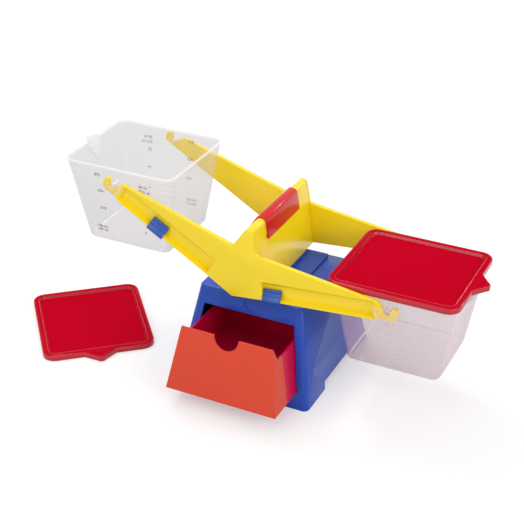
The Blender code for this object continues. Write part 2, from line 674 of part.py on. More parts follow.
def compensator_section():
    """The clip's (y, height) section: a hook under the ledge, a bulge round it and a bead."""
    bead = COMPENSATOR_BEAD_RADIUS
    bead_y = RAIL_WEB_Y + TOUCH_GAP + bead
    bead_z = COMPENSATOR_HEIGHT - bead
    rolled = [(bead_y + bead * math.cos(math.radians(angle)),
               bead_z + bead * math.sin(math.radians(angle)))
              for angle in range(-50, 261, 31)]
    inner_y = RAIL_LEDGE_Y + TOUCH_GAP
    outer_y = inner_y + COMPENSATOR_WALL
    under = -TOUCH_GAP
    bottom = under - COMPENSATOR_WALL
    hook_y = inner_y - COMPENSATOR_HOOK
    over = RAIL_LEDGE_THICKNESS + TOUCH_GAP
    valley_y = (bead_y + inner_y) / 2
    valley_z = (bead_z + over) / 2
    wall = COMPENSATOR_WALL
    corner = COMPENSATOR_CORNER_RADIUS
    bulge = filleted([(hook_y, bottom, 0), (outer_y, bottom, 2 * corner),
                      (outer_y, COMPENSATOR_BULGE_HEIGHT, 2 * corner),
                      (valley_y + wall / 2, valley_z, corner)], 3)
    inside = [(valley_y - wall / 2, valley_z - wall / 2), (inner_y, over), (inner_y, under),
              (hook_y, under)]
    return bulge + rolled + inside


def make_compensator(name, side, reach, finish, beam):
    """A clip that slides along the front panel's lower rail to bring the beam level."""
    place = (side * reach * math.cos(KEEL_ANGLE), 0.0, reach * math.sin(KEEL_ANGLE) - KEEL_DROP)
    slide = add_empty(name + "_slide", place, turn_y=-side * KEEL_ANGLE, parent=beam)
    half = COMPENSATOR_LENGTH / 2
    section = [(-y, height) for y, height in compensator_section()]
    clip = add_object(name, prism_along_x(section, -half, half), finish, slide)
    shade_round(clip)
    return clip


def bucket_loop(z, inset, proud=0.0):
    """The bucket's outline at height z over its pins, drawn out at the spout near the rim."""
    share = (z - BUCKET_BOTTOM_Z) / BUCKET_HEIGHT
    lip = BUCKET_LIP_PROUD
    rim_x = BUCKET_RIM_LENGTH / 2 - lip
    rim_y = BUCKET_RIM_WIDTH / 2 - lip
    half_x = BUCKET_BOTTOM_LENGTH / 2 * (1 - share) + rim_x * share - inset + proud
    half_y = BUCKET_BOTTOM_WIDTH / 2 * (1 - share) + rim_y * share - inset + proud
    corner = BUCKET_BOTTOM_CORNER * (1 - share) + BUCKET_RIM_CORNER * share - inset + proud
    open_share = max(0.0, (z - RIM_Z + SPOUT_DEPTH) / SPOUT_DEPTH)
    width = SPOUT_CREASE + (SPOUT_HALF_WIDTH - SPOUT_CREASE) * open_share
    spout = ((0.0, -width), (SPOUT_REACH * open_share, 0.0), (0.0, width))
    return box_loop(half_x, half_y, corner, z, spout)


def bucket_half_width(z):
    share = (z - BUCKET_BOTTOM_Z) / BUCKET_HEIGHT
    rim_y = BUCKET_RIM_WIDTH / 2 - BUCKET_LIP_PROUD
    return BUCKET_BOTTOM_WIDTH / 2 * (1 - share) + rim_y * share


def make_bucket(name, side, finish, beam):
    """A tapered tub with a spout, a lip, and a pin with a half disc on each long wall."""
    hook = add_empty(name + "_hook", (side * PIN_REACH, 0.0, -PIN_DROP), turn_y=-BEAM_TILT,
                     parent=beam)
    lip_z = RIM_Z - BUCKET_LIP_HEIGHT
    spout_z = RIM_Z - SPOUT_DEPTH
    edge = BUCKET_BOTTOM_ROUND
    floor_z = BUCKET_BOTTOM_Z + BUCKET_FLOOR
    loops = [bucket_loop(BUCKET_BOTTOM_Z, edge), bucket_loop(BUCKET_BOTTOM_Z + edge / 3, edge / 3),
             bucket_loop(BUCKET_BOTTOM_Z + edge, 0.0), bucket_loop(spout_z, 0.0),
             bucket_loop(lip_z, 0.0), bucket_loop(lip_z, 0.0, BUCKET_LIP_PROUD),
             bucket_loop(RIM_Z, 0.0, BUCKET_LIP_PROUD), bucket_loop(RIM_Z, BUCKET_WALL),
             bucket_loop(spout_z, BUCKET_WALL), bucket_loop(floor_z + edge / 2, BUCKET_WALL),
             bucket_loop(floor_z, BUCKET_WALL + edge / 2)]
    turned = [[(side * x, y, z) for x, y, z in loop] for loop in loops]
    bucket = add_object(name, lofted(turned), finish, hook)

    disc_inner = arm_outer_y(-PIN_DROP - PIN_DISC_RADIUS) + PIN_DISC_CLEARANCE
    disc_outer = disc_inner + PIN_DISC_THICKNESS
    wall_y = bucket_half_width(-PIN_RADIUS) - BUCKET_WALL / 2
    lower_half = [(PIN_DISC_RADIUS * math.cos(math.radians(angle)),
                   PIN_DISC_TOP + PIN_DISC_RADIUS * math.sin(math.radians(angle)))
                  for angle in range(180, 361, 15)]
    for face in (-1, 1):
        join(bucket, prism_along_y(circle_points(PIN_RADIUS), face * wall_y,
                                            face * (disc_inner + PIN_DISC_THICKNESS / 2)))
        join(bucket, prism_along_y(lower_half, face * disc_inner, face * disc_outer))
    foot_x = BUCKET_BOTTOM_LENGTH / 2 - BUCKET_FOOT_END_INSET
    foot_y = BUCKET_BOTTOM_WIDTH / 2 - BUCKET_FOOT_SIDE_INSET
    for place in ((foot_x, foot_y), (-foot_x, foot_y), (-foot_x, -foot_y), (foot_x, -foot_y)):
        join(bucket, cylinder_along_z(BUCKET_FOOT_RADIUS, BUCKET_BOTTOM_Z - BUCKET_FOOT_HEIGHT,
                                      BUCKET_BOTTOM_Z + BUCKET_FLOOR / 2, place))
    shade_round(bucket)
    return hook


def lid_loop(inset, z, tab_share=1.0):
    """The lid's outline set in from its outer edge, drawn out at the blunt tab over the spout."""
    half_x = LID_LENGTH / 2 - inset
    half_y = LID_WIDTH / 2 - inset
    corner = BUCKET_RIM_CORNER + BUCKET_LIP_PROUD + LID_CLEARANCE + LID_WALL - inset
    side = ((0.0, LID_TAB_HALF_WIDTH),
            (LID_TAB_REACH - LID_TAB_TIP_CUT, LID_TAB_TIP_HALF_WIDTH),
            (LID_TAB_REACH, LID_TAB_TIP_HALF_WIDTH - LID_TAB_TIP_CUT))
    tab = [(reach * tab_share, -y) for reach, y in side]
    tab += [(reach * tab_share, y) for reach, y in side[::-1]]
    return box_loop(half_x, half_y, corner, z, tab)


def make_lid(name, place, turn_y, turn_z, finish, parent=None):
    """A shallow lid with a sunk panel in a bead, a skirt round the rim and a tab over the spout."""
    plug_inset = (LID_WALL + LID_CLEARANCE + BUCKET_LIP_PROUD + BUCKET_WALL
                  + LID_PLUG_CLEARANCE)
    step_inset = plug_inset + LID_STEP_WALL
    edge = LID_EDGE_RADIUS
    panel_top = LID_WALL - LID_PANEL_DROP
    bead_top = LID_WALL + LID_BEAD_HEIGHT
    bead_inset = step_inset - LID_BEAD_WIDTH
    bead_foot = bead_inset - LID_BEAD_HEIGHT
    loops = [lid_loop(step_inset + LID_STEP_SLOPE, panel_top, 0.0),
             lid_loop(step_inset, bead_top, 0.0), lid_loop(bead_inset, bead_top, 0.0),
             lid_loop(bead_foot, LID_WALL, 0.0), lid_loop(edge, LID_WALL),
             lid_loop(edge / 3, LID_WALL - edge / 3), lid_loop(0.0, LID_WALL - edge),
             lid_loop(0.0, -LID_SKIRT_DROP), lid_loop(LID_WALL, -LID_SKIRT_DROP),
             lid_loop(LID_WALL, 0.0), lid_loop(plug_inset, 0.0, 0.0),
             lid_loop(plug_inset, -LID_PANEL_DROP, 0.0)]
    lid = add_object(name, lofted(loops), finish, parent)
    lid.location = place
    lid.rotation_euler = (0.0, turn_y, turn_z)
    shade_round(lid)
    return lid


def remove_all_objects():
    for old in list(bpy.data.objects):
        bpy.data.objects.remove(old)


def build():
    remove_all_objects()
    blue = material("blue_plastic", (0.02, 0.07, 0.42), 0.28)
    yellow = material("yellow_plastic", (0.93, 0.74, 0.01), 0.26)
    red = material("red_plastic", (0.72, 0.02, 0.02), 0.28)
    clear = material("clear_plastic", (0.90, 0.90, 0.94), 0.16, 0.35)
    steel = material("screw_steel", (0.60, 0.60, 0.62), 0.35)

    make_base_shell(blue)
    make_base_floor(blue)
    make_screws(steel)
    make_fulcrum(blue)
    slide = add_empty("drawer_slide", (0.0, -DRAWER_OPENING, 0.0))
    make_drawer(red, slide)

    beam = add_empty("beam_pivot", (0.0, 0.0, PIVOT_HEIGHT), turn_y=BEAM_TILT)
    make_saddle(yellow, beam)
    make_arm("beam_arm_front", -1, yellow, beam)
    make_arm("beam_arm_rear", 1, yellow, beam)
    make_pivot_cap(red, beam)
    make_compensator("compensator_left", -1, COMPENSATOR_LEFT_REACH, blue, beam)
    make_compensator("compensator_right", 1, COMPENSATOR_RIGHT_REACH, blue, beam)

    make_bucket("bucket_left", -1, clear, beam)
    right_hook = make_bucket("bucket_right", 1, clear, beam)
    make_lid("lid_right", (0.0, 0.0, RIM_Z + TOUCH_GAP), 0.0, 0.0, red, right_hook)
    loose_place = (LOOSE_LID_PLACE_X, LOOSE_LID_PLACE_Y, LID_SKIRT_DROP)
    make_lid("lid_left", loose_place, 0.0, math.radians(LOOSE_LID_TURN_DEGREES), red)


build()
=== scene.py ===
"""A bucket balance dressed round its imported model: finishes, softened edges, marks and a plain stage."""

import json
import math

import bpy
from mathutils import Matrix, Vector

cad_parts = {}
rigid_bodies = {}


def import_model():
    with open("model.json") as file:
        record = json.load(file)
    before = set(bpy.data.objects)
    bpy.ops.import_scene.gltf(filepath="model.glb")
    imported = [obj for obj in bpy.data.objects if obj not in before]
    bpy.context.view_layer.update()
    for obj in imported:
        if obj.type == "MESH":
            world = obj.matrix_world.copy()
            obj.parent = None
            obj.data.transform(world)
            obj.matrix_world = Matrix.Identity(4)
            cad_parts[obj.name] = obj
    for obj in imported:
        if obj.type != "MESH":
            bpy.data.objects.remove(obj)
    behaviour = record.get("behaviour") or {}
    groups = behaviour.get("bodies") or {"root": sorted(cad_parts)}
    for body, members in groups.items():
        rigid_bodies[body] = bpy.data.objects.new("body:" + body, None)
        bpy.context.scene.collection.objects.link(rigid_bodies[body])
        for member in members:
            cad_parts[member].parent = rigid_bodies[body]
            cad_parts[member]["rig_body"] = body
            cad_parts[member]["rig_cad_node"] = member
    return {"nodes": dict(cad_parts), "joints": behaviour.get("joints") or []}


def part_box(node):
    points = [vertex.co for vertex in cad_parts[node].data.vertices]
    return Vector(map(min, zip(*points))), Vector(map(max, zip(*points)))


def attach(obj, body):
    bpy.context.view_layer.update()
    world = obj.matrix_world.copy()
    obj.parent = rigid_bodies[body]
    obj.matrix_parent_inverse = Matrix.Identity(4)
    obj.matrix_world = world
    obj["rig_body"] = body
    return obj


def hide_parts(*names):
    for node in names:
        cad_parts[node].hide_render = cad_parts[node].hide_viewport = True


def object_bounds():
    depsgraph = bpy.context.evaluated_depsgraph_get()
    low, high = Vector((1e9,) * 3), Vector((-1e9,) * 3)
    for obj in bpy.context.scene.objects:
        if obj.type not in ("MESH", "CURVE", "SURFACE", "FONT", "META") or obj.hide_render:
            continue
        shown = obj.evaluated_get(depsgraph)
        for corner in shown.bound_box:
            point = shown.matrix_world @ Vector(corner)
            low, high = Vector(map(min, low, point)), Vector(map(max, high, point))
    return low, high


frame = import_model()
cad_box = [list(corner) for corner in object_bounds()]


# Base shell
# A tapered hood of blue plastic, moulded in one piece with rounded corners, the drawer's window in
# its front and an arch in each side's lower edge. Its top is painted a lighter blue as painted light.
BASE_BLUE = (0.019, 0.072, 0.440)
BASE_TOP_PAINTED_LIGHT_BLUE = (0.042, 0.115, 0.660)
BASE_TOP_LEVEL = 0.7
BASE_TOP_SHARPNESS = 5.0
BASE_ROUGHNESS = 0.24
BASE_SPECULAR = 0.25
BASE_EDGE_ROUNDING = 0.0005
EDGE_SEGMENTS = 3
MERGE_DISTANCE = 0.00001
FLAT_ANGLE = math.radians(0.5)
SMOOTH_ANGLE = math.radians(32)
PLAIN_SPECULAR = 0.5
WAVE_SPACING = 0.024
WAVE_DETAIL = 2.0
WAVE_SHADE = 0.97
WAVE_SHARE = 0.8
SHINE_SPREAD = 0.06
PEEL_SPACING = 0.0011
PEEL_DETAIL = 1.0
PEEL_DEPTH = 0.000015
SKIN_STRENGTH = 0.25
# A Mix node's colour sockets share their names with its number sockets, so they go by their places.
FIRST_TONE = 6
SECOND_TONE = 7
MIXED_TONE = 2


class Wire:
    """A socket in a finish's node tree. Sums on wires add Math nodes, and add() adds any other node."""

    def __init__(self, tree, socket=None):
        self.tree = tree
        self.socket = socket

    def add(self, kind, settings=None, inputs=None, output=0):
        """Add a node, set it up, feed its sockets and return the wire of one output."""
        node = self.tree.nodes.new(kind)
        for name, value in (settings or {}).items():
            setattr(node, name, value)
        feed(node, inputs or {})
        return Wire(self.tree, node.outputs[output])

    def math(self, operation, first, second):
        return self.add("ShaderNodeMath", {"operation": operation}, {0: first, 1: second})

    def __add__(self, other):
        return self.math("ADD", self, other)

    def __radd__(self, other):
        return self.math("ADD", other, self)

    def __sub__(self, other):
        return self.math("SUBTRACT", self, other)

    def __rsub__(self, other):
        return self.math("SUBTRACT", other, self)

    def __mul__(self, other):
        return self.math("MULTIPLY", self, other)

    def __rmul__(self, other):
        return self.math("MULTIPLY", other, self)

    def __truediv__(self, other):
        return self.math("DIVIDE", self, other)

    def __rtruediv__(self, other):
        return self.math("DIVIDE", other, self)

    def __pow__(self, other):
        return self.math("POWER", self, other)

    def __rpow__(self, other):
        return self.math("POWER", other, self)

    def __abs__(self):
        return self.math("ABSOLUTE", self, 0.0)


def feed(node, inputs):
    """Feed a node's sockets, each with a wire or with a plain value."""
    for name, value in inputs.items():
        if isinstance(value, Wire):
            value.tree.links.new(value.socket, node.inputs[name])
        else:
            node.inputs[name].default_value = value


def surface(finish, kind):
    """The wire of a surface's Object coordinates or of its Normal."""
    return Wire(finish.node_tree).add("ShaderNodeTexCoord", output=kind)


def axis_of(wire, axis):
    """One of the three numbers of a place or a direction."""
    return wire.add("ShaderNodeSeparateXYZ", None, {"Vector": wire}, axis)


def clamped(wire):
    return wire.add("ShaderNodeClamp", None, {"Value": wire})


def noise(place, spacing, detail):
    """Soft blotches of about one spacing, from 0 to 1."""
    return place.add("ShaderNodeTexNoise", {"noise_dimensions": "3D"},
                     {"Vector": place, "Scale": 1.0 / spacing, "Detail": detail}, "Fac")


def mixed(mask, first, second):
    """The first tone where a mask is 0, and the second where it is 1."""
    return mask.add("ShaderNodeMix", {"data_type": "RGBA"},
                    {"Factor": mask, FIRST_TONE: first, SECOND_TONE: second}, MIXED_TONE)


def shader_of(finish):
    return finish.node_tree.nodes["Principled BSDF"]


def laid_over(finish, mask, tone):
    """Lay a second tone over a finish's own where a mask is 1."""
    own_socket = shader_of(finish).inputs["Base Color"].links[0].from_socket
    own_tone = Wire(finish.node_tree, own_socket)
    feed(shader_of(finish), {"Base Color": mixed(mask, own_tone, (*tone, 1.0))})


def blank_finish(name):
    """A new material and the wire of its object coordinates."""
    finish = bpy.data.materials.new(name)
    finish.use_nodes = True
    return finish, surface(finish, "Object")


def wavy(middle, spread, waves):
    """A value that soft waves carry a little below and above its middle."""
    return middle - spread / 2 + waves * spread


def moulded_plastic(name, colour, roughness, specular=PLAIN_SPECULAR, shade=WAVE_SHADE):
    """Glossy moulded plastic: a faintly uneven tone, soft waves and a fine skin like an orange's."""
    finish, place = blank_finish(name)
    waves = noise(place, WAVE_SPACING, WAVE_DETAIL)
    peel = noise(place, PEEL_SPACING, PEEL_DETAIL)
    deep = tuple(channel * shade for channel in colour)
    skin = waves * WAVE_SHARE + peel * (1.0 - WAVE_SHARE)
    bump = place.add("ShaderNodeBump", None,
                     {"Height": skin, "Strength": SKIN_STRENGTH, "Distance": PEEL_DEPTH})
    feed(shader_of(finish), {"Base Color": mixed(waves, (*deep, 1.0), (*colour, 1.0)),
                             "Roughness": wavy(roughness, SHINE_SPREAD, waves),
                             "Normal": bump, "Specular IOR Level": specular})
    return finish


def deselect_all():
    for chosen in list(bpy.context.selected_objects):
        chosen.select_set(False)


def make_active(piece):
    deselect_all()
    piece.select_set(True)
    bpy.context.view_layer.objects.active = piece


def dressed(node, body, finish, edge, segments=EDGE_SEGMENTS):
    """Show a merged copy of a CAD node, with softened edges, in the node's place."""
    piece = frame["nodes"][node].copy()
    piece.data = piece.data.copy()
    piece.name = node + "_dressed"
    piece.parent = None
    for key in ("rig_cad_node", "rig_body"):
        del piece[key]
    bpy.context.scene.collection.objects.link(piece)
    make_active(piece)
    bpy.ops.object.mode_set(mode="EDIT")
    bpy.ops.mesh.select_all(action="SELECT")
    bpy.ops.mesh.customdata_custom_splitnormals_clear()
    bpy.ops.mesh.remove_doubles(threshold=MERGE_DISTANCE)
    bpy.ops.mesh.dissolve_limited(angle_limit=FLAT_ANGLE)
    bpy.ops.object.mode_set(mode="OBJECT")
    bevel = piece.modifiers.new("softened edges", "BEVEL")
    bevel.width = edge
    bevel.segments = segments
    bevel.limit_method = "ANGLE"
    bevel.angle_limit = SMOOTH_ANGLE
    bevel.use_clamp_overlap = True
    bpy.ops.object.modifier_apply(modifier=bevel.name)
    bpy.ops.object.shade_smooth_by_angle(angle=SMOOTH_ANGLE)
    piece.data.materials.clear()
    piece.data.materials.append(finish)
    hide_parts(node)
    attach(piece, body)


base_blue = moulded_plastic("base_blue", BASE_BLUE, BASE_ROUGHNESS, BASE_SPECULAR)
base_level = axis_of(surface(base_blue, "Normal"), "Z")
# Painted light: faces of this blue that look upward get a lighter blue, as if lit from above.
laid_over(base_blue, clamped((base_level - BASE_TOP_LEVEL) * BASE_TOP_SHARPNESS), BASE_TOP_PAINTED_LIGHT_BLUE)
dressed("base_shell", "base", base_blue, BASE_EDGE_ROUNDING)


# Base floor and its screws
# A plate of the same blue plastic closes the hood from below and carries the drawer's two runners.
# Four plated steel screws with a cross slot go up through it into bosses in the hood.
FLOOR_EDGE_ROUNDING = 0.0003
FLOOR_SCREWS = 4
SCREW_EDGE_ROUNDING = 0.00015
SMALL_EDGE_SEGMENTS = 2
STEEL = (0.56, 0.56, 0.58)
STEEL_ROUGHNESS = 0.34
STEEL_GRAIN_SPACING = 0.0004
STEEL_GRAIN_DETAIL = 3.0
STEEL_GRAIN_SPREAD = 0.16


def zinc_plated_steel(name):
    """Pale plated steel with a fine uneven shine."""
    finish, place = blank_finish(name)
    grain = noise(place, STEEL_GRAIN_SPACING, STEEL_GRAIN_DETAIL)
    feed(shader_of(finish), {"Base Color": (*STEEL, 1.0), "Metallic": 1.0,
                             "Roughness": wavy(STEEL_ROUGHNESS, STEEL_GRAIN_SPREAD, grain)})
    return finish


dressed("base_floor", "base", base_blue, FLOOR_EDGE_ROUNDING, SMALL_EDGE_SEGMENTS)
screw_steel = zinc_plated_steel("screw_steel_plated")
for number in range(1, FLOOR_SCREWS + 1):
    dressed(f"floor_screw_{number}", "base", screw_steel, SCREW_EDGE_ROUNDING,
            SMALL_EDGE_SEGMENTS)


# Fulcrum
# A tower on a plate, of the same blue plastic, which stands on the hood and is held by two screws
# that go up through the hood's top from inside. The beam's saddle rocks on its edge.
FULCRUM_EDGE_ROUNDING = 0.0003
FULCRUM_SCREWS = 2

dressed("fulcrum", "base", base_blue, FULCRUM_EDGE_ROUNDING, SMALL_EDGE_SEGMENTS)
for number in range(1, FULCRUM_SCREWS + 1):
    dressed(f"fulcrum_screw_{number}", "base", screw_steel, SCREW_EDGE_ROUNDING,
            SMALL_EDGE_SEGMENTS)


# Pointer
# A small raised arrow with a sunk middle, moulded with the hood over the drawer's window. It shows
# where the beam's middle is.
POINTER_PLACE = (-0.0050, -0.0610, 0.0926)
POINTER_HEIGHT = 0.0078
POINTER_WIDTH = 0.0056
POINTER_PROUD = 0.0005
POINTER_CORNERS = 3
POINTER_RIM_SHARE = 0.16
POINTER_SINK_SHARE = 0.7
HOOD_LEAN = math.radians(13.45)
TRIANGLE_HEIGHT = 1.5
TRIANGLE_WIDTH = math.sqrt(3.0)


def turn_faces_out():
    """Turn every face of the piece in edit mode outwards, and leave edit mode."""
    bpy.ops.mesh.select_all(action="SELECT")
    bpy.ops.mesh.normals_make_consistent()
    bpy.ops.object.mode_set(mode="OBJECT")


deselect_all()
bpy.ops.mesh.primitive_circle_add(vertices=POINTER_CORNERS, radius=1.0, fill_type="NGON")
pointer = bpy.context.object
pointer.name = "base_pointer"
bpy.ops.object.mode_set(mode="EDIT")
bpy.ops.mesh.select_all(action="SELECT")
bpy.ops.mesh.extrude_region_move(TRANSFORM_OT_translate={"value": (0.0, 0.0, 1.0)})
bpy.ops.mesh.inset(thickness=POINTER_RIM_SHARE)
bpy.ops.transform.translate(value=(0.0, 0.0, -POINTER_SINK_SHARE))
turn_faces_out()
pointer.scale = (POINTER_WIDTH / TRIANGLE_WIDTH, POINTER_HEIGHT / TRIANGLE_HEIGHT, POINTER_PROUD)
pointer.rotation_euler = (math.pi / 2 - HOOD_LEAN, 0.0, 0.0)
pointer.location = POINTER_PLACE
bpy.ops.object.transform_apply(location=True, rotation=True, scale=True)
pointer.data.materials.append(base_blue)
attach(pointer, "base")


# Drawer
# One tray of red plastic with a taller leaning front, in which a half round notch takes a finger.
# It is one red plastic, painted a lit orange-red on the front and a shaded crimson behind and inside.
DRAWER_PAINTED_LIT_RED = (0.720, 0.072, 0.036)
DRAWER_PAINTED_SHADE_CRIMSON = (0.600, 0.002, 0.050)
DRAWER_ROUGHNESS = 0.3
DRAWER_SPECULAR = 0.14
DRAWER_EDGE_ROUNDING = 0.0004
DRAWER_FRONT_INSIDE_Y = -0.1297
DRAWER_FRONT_LEAN = 0.2392
DRAWER_INNER_HALF_WIDTH = 0.0634
DRAWER_SIDE_LEAN = 0.1703
TRAY_START_Y = -0.1015
TRAY_START_LEAN = 0.10
TONE_SHARPNESS = 3000.0

drawer_red = moulded_plastic("drawer_red", DRAWER_PAINTED_LIT_RED, DRAWER_ROUGHNESS, DRAWER_SPECULAR)
drawer_place = surface(drawer_red, "Object")
along, back, up = (axis_of(drawer_place, axis) for axis in "XYZ")
behind_front = clamped((back - up * DRAWER_FRONT_LEAN - DRAWER_FRONT_INSIDE_Y) * TONE_SHARPNESS)
inside = clamped((DRAWER_INNER_HALF_WIDTH - up * DRAWER_SIDE_LEAN - abs(along)) * TONE_SHARPNESS)
far_back = clamped((back - up * TRAY_START_LEAN - TRAY_START_Y) * TONE_SHARPNESS)
# Painted shade: crimson on the tray and the front's inner face, against the front's painted lit orange-red.
laid_over(drawer_red, clamped(behind_front * inside + far_back), DRAWER_PAINTED_SHADE_CRIMSON)
dressed("drawer", "drawer", drawer_red, DRAWER_EDGE_ROUNDING)


# Beam
# A yellow moulding: a saddle with a rounded ridge between two side panels, whose hooks carry the
# buckets and whose lower ledges carry the compensators.
BEAM_YELLOW = (0.930, 0.690, 0.008)
BEAM_ROUGHNESS = 0.24
BEAM_SHADE = 0.985
BEAM_EDGE_ROUNDING = 0.0005

beam_yellow = moulded_plastic("beam_yellow", BEAM_YELLOW, BEAM_ROUGHNESS, shade=BEAM_SHADE)
for node in ("beam_saddle", "beam_arm_front", "beam_arm_rear"):
    dressed(node, "beam", beam_yellow, BEAM_EDGE_ROUNDING)


# Pivot cap
# A red saddle of springy plastic that clips over the ridge and keeps the beam on its edge.
CAP_RED = (0.620, 0.014, 0.016)
CAP_ROUGHNESS = 0.13
CAP_SPECULAR = 0.25
CAP_EDGE_ROUNDING = 0.0004

cap_red = moulded_plastic("cap_red", CAP_RED, CAP_ROUGHNESS, CAP_SPECULAR)
dressed("pivot_cap", "beam", cap_red, CAP_EDGE_ROUNDING)


# Compensators
# Two short lengths of blue section that hook under the front ledge and slide along it to trim the
# balance.
CLIP_BLUE = (0.020, 0.085, 0.400)
CLIP_ROUGHNESS = 0.24
CLIP_EDGE_ROUNDING = 0.0002

clip_blue = moulded_plastic("clip_blue", CLIP_BLUE, CLIP_ROUGHNESS)
for node in ("compensator_left", "compensator_right"):
    dressed(node, node, clip_blue, CLIP_EDGE_ROUNDING, SMALL_EDGE_SEGMENTS)


# Buckets
# Two tapered tubs of milky clear plastic with a spout, four small feet, and a pin with a half disc
# on each long wall. The pins lie in the beam's hooks.
# The right bucket's haze is tinted pink: painted red light from the lid on it.
BUCKET_HAZE_AND_PAINTED_LID_LIGHT = {"bucket_left": (0.85, 0.83, 0.89), "bucket_right": (1.00, 0.74, 0.82)}
BUCKET_WHITE_AND_PAINTED_HIGHLIGHT = (0.97, 0.95, 0.97)
BUCKET_ROUGHNESS = 0.14
BUCKET_EDGE_ROUNDING = 0.0004
BUCKET_CLEARNESS = 0.915
BUCKET_HEIGHT = 0.0943
RIM_ABOVE_PIN = 0.0140
LIP_HEIGHT = 0.0024
MASK_SHARPNESS = 4000.0
FACING_BLEND = 0.5
SLANT_FLOOR = 0.14
EDGE_ALPHA = 0.34
CORNER_WHITE = 0.5
CORNER_TURN = 0.46
CORNER_SHARPNESS = 16.0
ROUNDING_TURN = 0.12
ROUNDING_SHARPNESS = 8.0
PINS = {joint["child"]: joint["pos_m"] for joint in frame["joints"] if joint["name"].endswith("_swing")}


def clear_cover(wire, clearness):
    """How much a clear surface hides: more where it slants away, as a longer way through it does."""
    facing = wire.add("ShaderNodeLayerWeight", None, {"Blend": FACING_BLEND}, "Facing")
    return 1.0 - clearness ** (1.0 / (1.0 + SLANT_FLOOR - facing))


def milky_plastic(name, haze_and_lid_light, rim_z, bottom_z):
    """Hazy clear plastic, denser where a wall slants away; whiter and denser on the lip, edges and feet as
    painted highlight.
    """
    finish, place = blank_finish(name)
    waves = noise(place, WAVE_SPACING, WAVE_DETAIL)
    height = axis_of(place, "Z")
    lip = clamped((height - (rim_z - LIP_HEIGHT)) * MASK_SHARPNESS)
    feet = clamped((bottom_z - height) * MASK_SHARPNESS)
    normal = surface(finish, "Normal")
    along, across, up = (axis_of(normal, axis) for axis in "XYZ")
    corner = clamped((abs(along * across) - CORNER_TURN) * CORNER_SHARPNESS) * CORNER_WHITE
    rounding = clamped((up * up * (1.0 - up * up) - ROUNDING_TURN) * ROUNDING_SHARPNESS)
    # Painted highlight: the lip, feet, corners and roundings take a whiter tone, with the denser look of
    # thicker plastic.
    white = clamped(lip + feet + corner + rounding)
    feed(shader_of(finish), {"Base Color": mixed(white, (*haze_and_lid_light, 1.0), (*BUCKET_WHITE_AND_PAINTED_HIGHLIGHT, 1.0)),
                             "Roughness": wavy(BUCKET_ROUGHNESS, SHINE_SPREAD, waves),
                             "Alpha": clamped(clear_cover(place, BUCKET_CLEARNESS) + white * EDGE_ALPHA)})
    return finish


for node, pin in PINS.items():
    rim_z = pin[2] + RIM_ABOVE_PIN
    bucket_clear = milky_plastic(node + "_clear", BUCKET_HAZE_AND_PAINTED_LID_LIGHT[node], rim_z, rim_z - BUCKET_HEIGHT)
    dressed(node, node, bucket_clear, BUCKET_EDGE_ROUNDING)


# Ribs of the half discs
# Each half disc has a raised rim and ribs that fan out from its pin, of the same clear plastic and
# moulded with the bucket.
DISC_RADIUS = 0.0135
DISC_TOP = 0.0045
DISC_RIM_RADIUS = 0.0004
DISC_RIM_SEGMENTS = 40
DISC_RIM_SIDES = 8
RIB_ANGLES = range(-158, 0, 34)
RIB_START = 0.0034
RIB_LENGTH = DISC_RADIUS - RIB_START - DISC_RIM_RADIUS
RIB_MIDDLE = RIB_START + RIB_LENGTH / 2
RIB_WIDTH = 0.0005
RIB_PROUD = 0.0003
RIB_CLEARNESS = 0.86


def thin_clear_plastic(name, clearness):
    """The tubs' clear plastic where it is only a thin rib or line."""
    finish, place = blank_finish(name)
    waves = noise(place, WAVE_SPACING, WAVE_DETAIL)
    feed(shader_of(finish), {"Base Color": (*BUCKET_WHITE_AND_PAINTED_HIGHLIGHT, 1.0),
                             "Roughness": wavy(BUCKET_ROUGHNESS, SHINE_SPREAD, waves),
                             "Alpha": clamped(clear_cover(place, clearness))})
    return finish


def joined(parts, name):
    """Join parts into one piece with its place in its mesh."""
    deselect_all()
    for part in parts:
        part.select_set(True)
    bpy.context.view_layer.objects.active = parts[0]
    bpy.ops.object.join()
    piece = bpy.context.object
    piece.name = name
    bpy.ops.object.transform_apply(location=True, rotation=True, scale=True)
    return piece


rib_clear = thin_clear_plastic("disc_rib_clear", RIB_CLEARNESS)
for node, pin in PINS.items():
    disc_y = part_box(node)[0][1]
    disc_z = pin[2] + DISC_TOP
    deselect_all()
    bpy.ops.mesh.primitive_torus_add(major_radius=DISC_RADIUS - DISC_RIM_RADIUS, minor_radius=DISC_RIM_RADIUS,
                                     major_segments=DISC_RIM_SEGMENTS, minor_segments=DISC_RIM_SIDES,
                                     location=(pin[0], disc_y, disc_z), rotation=(math.pi / 2, 0.0, 0.0))
    bars = [bpy.context.object]
    bpy.ops.object.transform_apply(location=True, rotation=True, scale=True)
    bpy.ops.object.mode_set(mode="EDIT")
    bpy.ops.mesh.select_all(action="SELECT")
    bpy.ops.mesh.bisect(plane_co=(pin[0], disc_y, disc_z), plane_no=(0.0, 0.0, 1.0), use_fill=True,
                        clear_outer=True)
    bpy.ops.object.mode_set(mode="OBJECT")
    for angle in RIB_ANGLES:
        turn = math.radians(angle)
        deselect_all()
        bpy.ops.mesh.primitive_cube_add(size=1.0, scale=(RIB_LENGTH, 2 * RIB_PROUD, RIB_WIDTH),
                                        rotation=(0.0, -turn, 0.0),
                                        location=(pin[0] + RIB_MIDDLE * math.cos(turn), disc_y,
                                                  disc_z + RIB_MIDDLE * math.sin(turn)))
        bars.append(bpy.context.object)
    ribs = joined(bars, node + "_disc_ribs")
    bpy.ops.object.mode_set(mode="EDIT")
    bpy.ops.mesh.select_all(action="SELECT")
    bpy.ops.mesh.duplicate()
    bpy.ops.transform.resize(value=(1.0, -1.0, 1.0), center_override=(pin[0], 0.0, pin[2]))
    turn_faces_out()
    bpy.ops.object.shade_smooth_by_angle(angle=SMOOTH_ANGLE)
    ribs.data.materials.append(rib_clear)
    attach(ribs, node)
